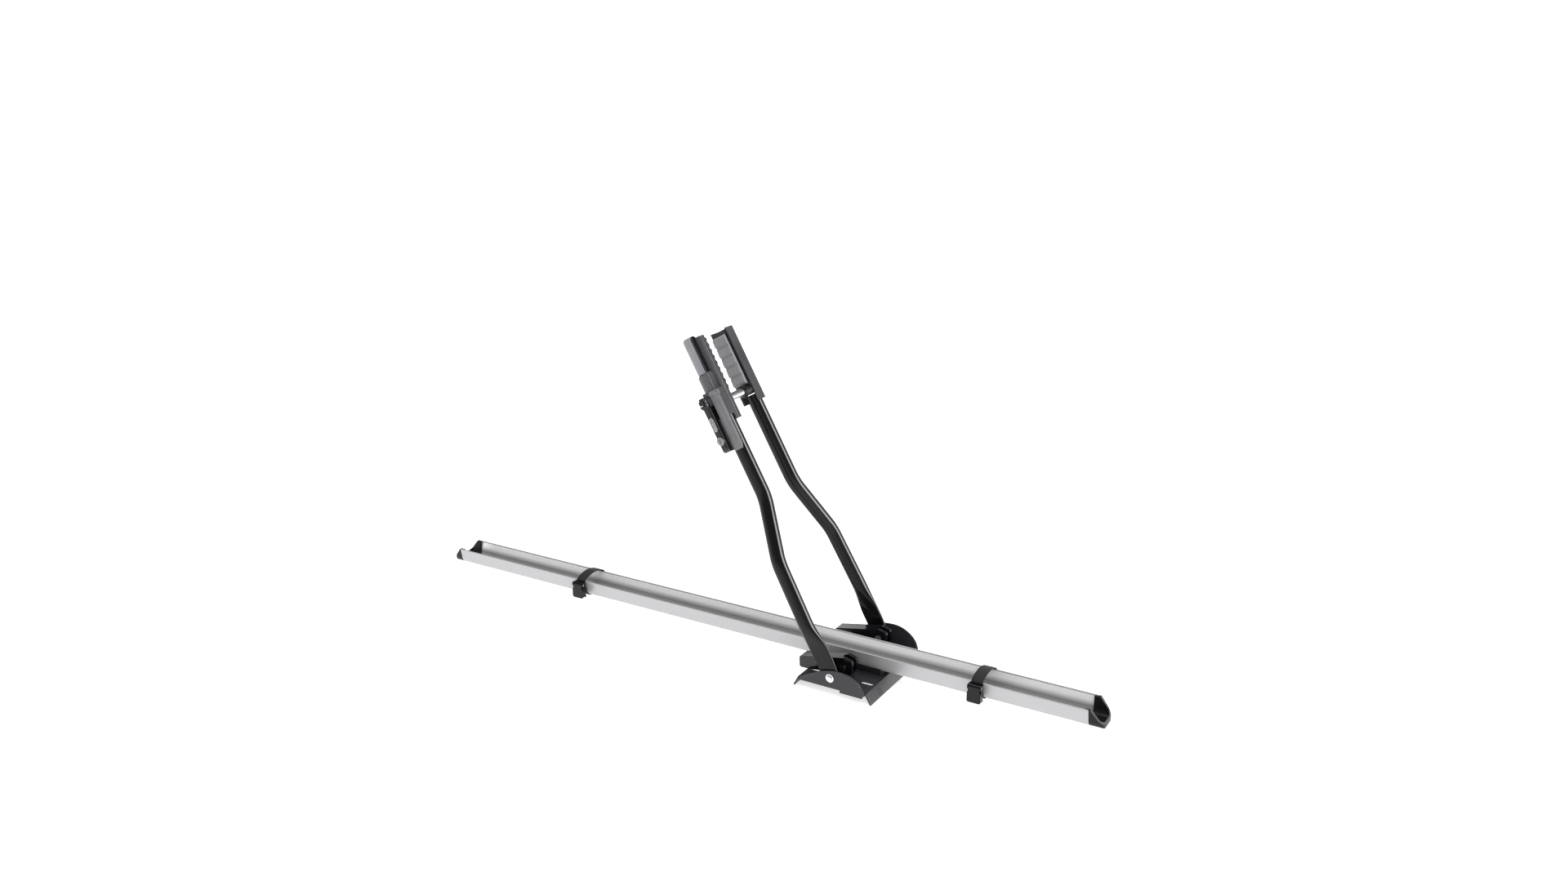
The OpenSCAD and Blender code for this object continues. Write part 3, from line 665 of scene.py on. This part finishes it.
# Steps in mm along the webbing for its rings and for placing the stitches
STRAP_STEP, STITCH_STEP = 1.6, 0.4
# Stitches in mm: rows along the webbing, count and pitch across it, length; the thread's radius, bow, sinking
STITCH_ROWS, STITCHES, STITCH_PITCH, STITCH_LENGTH = (2.0, 5.2, 150.0, 153.0), 9, 2.1, 1.7
THREAD_R, THREAD_BOW, THREAD_SUNK = 0.16, 0.26, 0.12


def strap_line():
    """Middle line of the webbing round the tray, in mm, as (y, z)."""
    side, rise = 32.9, 9.6
    radius = (side * side + rise * rise) / (2 * rise)
    spread = math.degrees(math.asin(side / radius)) - 1.5
    return ([(-side + 0.2, 36), (-side, 43.5), (-side + 0.35, 45.3)]
            + arc_points(0, 46 + rise - radius, radius, 90 + spread, 90 - spread, 28)
            + [(side - 0.35, 45.3), (side, 43.5), (31.2, 34)]
            + arc_points(12.6, 25.4, 16.35, -8, -90, 10)
            + arc_points(-12.6, 25.4, 16.35, 270, 188, 10)
            + [(-31.6, 33.6)])


def resample(line, step):
    """Even points along a line, with their direction and distance."""
    points = [Vector(p) for p in line]
    out, travelled, due = [], 0.0, 0.0
    for a, b in zip(points, points[1:]):
        length = (b - a).length
        while due <= travelled + length:
            t = (due - travelled) / length
            out.append((a.lerp(b, t), (b - a).normalized(), due))
            due += step
        travelled += length
    for k in range(1, len(out) - 1):
        out[k] = (out[k][0], (out[k + 1][0] - out[k - 1][0]).normalized(), out[k][2])
    return out


def strap(name, x):
    """Webbing with rolled selvages and a shallow crown across its width."""
    section = []
    half = STRAP_W / 2
    for k in range(STRAP_COLUMNS + 1):
        u = -1 + 2 * k / STRAP_COLUMNS
        section.append((u * half, STRAP_T / 2 * (1 - 0.25 * abs(u) ** 6)))
    section += [(half * 1.012, 0)] + [(u, -v) for u, v in reversed(section)] + [(-half * 1.012, 0)]
    rings, uvs = [], []
    for place, along, travelled in resample(strap_line(), STRAP_STEP):
        normal = Vector((-along.y, along.x))
        sway = 0.12 * math.sin(travelled * 0.21)
        rings.append([Vector((x / MM + u + sway, *(place + normal * v))) * MM for u, v in section])
        uvs += [(u * MM, travelled * MM) for u, v in section]
    obj = new_piece("webbing_" + name, *loft(rings), "webbing", "carrier", uvs=uvs)
    sharpen(obj, 50)
    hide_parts("strap_" + name)
    stitches(name, x)


def stitches(name, x):
    """Bar tacks of thread across the webbing, where its end is folded round the buckle's bar."""
    verts, faces = [], []
    line = resample(strap_line(), STITCH_STEP)
    for row in STITCH_ROWS:
        place, along, _ = min(line, key=lambda p: abs(p[2] - row))
        normal = Vector((-along.y, along.x))
        for k in range(STITCHES):
            middle = x / MM + (k - (STITCHES - 1) / 2) * STITCH_PITCH
            rings = []
            for t in range(7):
                raised = STRAP_T / 2 - THREAD_SUNK + THREAD_BOW * math.sin(math.pi * t / 6)
                ring = []
                for c in range(6):
                    turn = math.pi * c / 3
                    spot = place + normal * (raised + THREAD_R * math.sin(turn))
                    spot = spot + along * THREAD_R * math.cos(turn)
                    ring.append(Vector((middle + STITCH_LENGTH * (t / 6 - 0.5), spot.x, spot.y)) * MM)
                rings.append(ring)
            piece, skin = loft(rings)
            faces += [tuple(i + len(verts) for i in face) for face in skin]
            verts += piece
    new_piece("strap_stitches_" + name, verts, faces, "webbing", "carrier")


for strap_name in ("front", "rear"):
    low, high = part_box("strap_" + strap_name)
    strap(strap_name, (low[0] + high[0]) / 2)


# ---- Stage, light and camera ----

def camera():
    """The main view, from its place, heading, tilt and roll."""
    heading, tilt, roll = (math.radians(a) for a in (-31.61, 17.59, 0.795))
    place = Vector((1.0541, -1.9669, 1.1514))
    ahead = Vector((math.sin(heading), math.cos(heading), 0))
    forward = ahead * math.cos(tilt) - Vector((0, 0, math.sin(tilt)))
    level = Vector((math.cos(heading), -math.sin(heading), 0))
    below = forward.cross(level)
    right = level * math.cos(roll) + below * math.sin(roll)
    down = below * math.cos(roll) - level * math.sin(roll)
    data = bpy.data.cameras.new("camera")
    data.sensor_width = 36
    data.lens = 30.0
    obj = bpy.data.objects.new("camera", data)
    obj.matrix_world = Matrix.Translation(place) @ Matrix((right, -down, -forward)).transposed().to_4x4()
    scene.collection.objects.link(obj)
    scene.camera = obj


FLOOR_SIZE, FLOOR_GAP = 400, 0.0005


def floor():
    """A white ground just under the lowest point, so wide that its edge never shows."""
    level = cad_box[0].z - FLOOR_GAP
    bpy.ops.mesh.primitive_plane_add(size=FLOOR_SIZE, location=(0, 0, level))
    obj = bpy.context.object
    obj.name = "floor"
    ground = Shader("floor", (0.9, 0.9, 0.9), 0.8).put(Specular_IOR_Level=0.1, Emission_Strength=0.65)
    ground.bsdf.inputs["Emission Color"].default_value = (1, 1, 1, 1)
    ground.tint(ground.noise(2, 2), 0.985, 1.0)
    obj.data.materials.append(ground.mat)


def area_light(name, place, target, size, power, diffuse=True):
    """A rectangular lamp; without diffuse it only shows as a highlight."""
    data = bpy.data.lights.new(name, "AREA")
    data.shape = "RECTANGLE"
    data.size, data.size_y = size
    data.energy = power
    obj = bpy.data.objects.new(name, data)
    obj.location = place
    obj.rotation_mode = "QUATERNION"
    obj.rotation_quaternion = (Vector(target) - Vector(place)).to_track_quat("-Z", "Y")
    obj.visible_diffuse = diffuse
    scene.collection.objects.link(obj)


def sky_light(name, direction, spread, strength):
    """Even light over the whole floor, from a wide part of the sky, without a highlight of its own."""
    data = bpy.data.lights.new(name, "SUN")
    data.angle = math.radians(spread)
    data.energy = strength
    obj = bpy.data.objects.new(name, data)
    obj.rotation_mode = "QUATERNION"
    obj.rotation_quaternion = (-Vector(direction)).to_track_quat("-Z", "Y")
    obj.visible_glossy = False
    scene.collection.objects.link(obj)


def studio_world():
    """White up to the horizon and dim overhead, so that dark and bright surfaces both get shape."""
    world = bpy.data.worlds.new("studio")
    world.use_nodes = True
    tree = world.node_tree
    direction = tree.nodes.new("ShaderNodeTexCoord")
    split = tree.nodes.new("ShaderNodeSeparateXYZ")
    ramp = tree.nodes.new("ShaderNodeValToRGB")
    height = tree.nodes.new("ShaderNodeMapRange")
    height.inputs["From Min"].default_value = -1
    height.inputs["From Max"].default_value = 1
    tree.links.new(direction.outputs["Generated"], split.inputs["Vector"])
    tree.links.new(split.outputs["Z"], height.inputs["Value"])
    tree.links.new(height.outputs["Result"], ramp.inputs["Fac"])
    tree.links.new(ramp.outputs["Color"], tree.nodes["Background"].inputs["Color"])
    # (place between straight down and straight up, brightness); a new ramp already has its two ends
    stops = [(0.0, 1.0), (0.5, 1.25), (0.55, 1.2), (0.62, 0.8), (0.72, 0.36), (0.86, 0.22), (1.0, 0.3)]
    for position, _ in stops[1:-1]:
        ramp.color_ramp.elements.new(position)
    for element, (_, level) in zip(ramp.color_ramp.elements, stops):
        element.color = (level, level, level, 1)
    scene.world = world


def lights():
    studio_world()
    sky_light("key", (0.6, -0.8, 1.5), 50, 1.25)
    sky_light("fill", (-0.8, -0.5, 1.5), 60, 0.7)
    area_light("strip", (2.5, 1.3, 1.0), (-0.1, 0, 0.35), (1.5, 2.8), 230, diffuse=False)
    area_light("top", (-0.2, 0.3, 2.4), (-0.2, 0, 0.2), (2.2, 1.2), 25)


camera()
floor()
lights()
scene.view_settings.view_transform = "Standard"
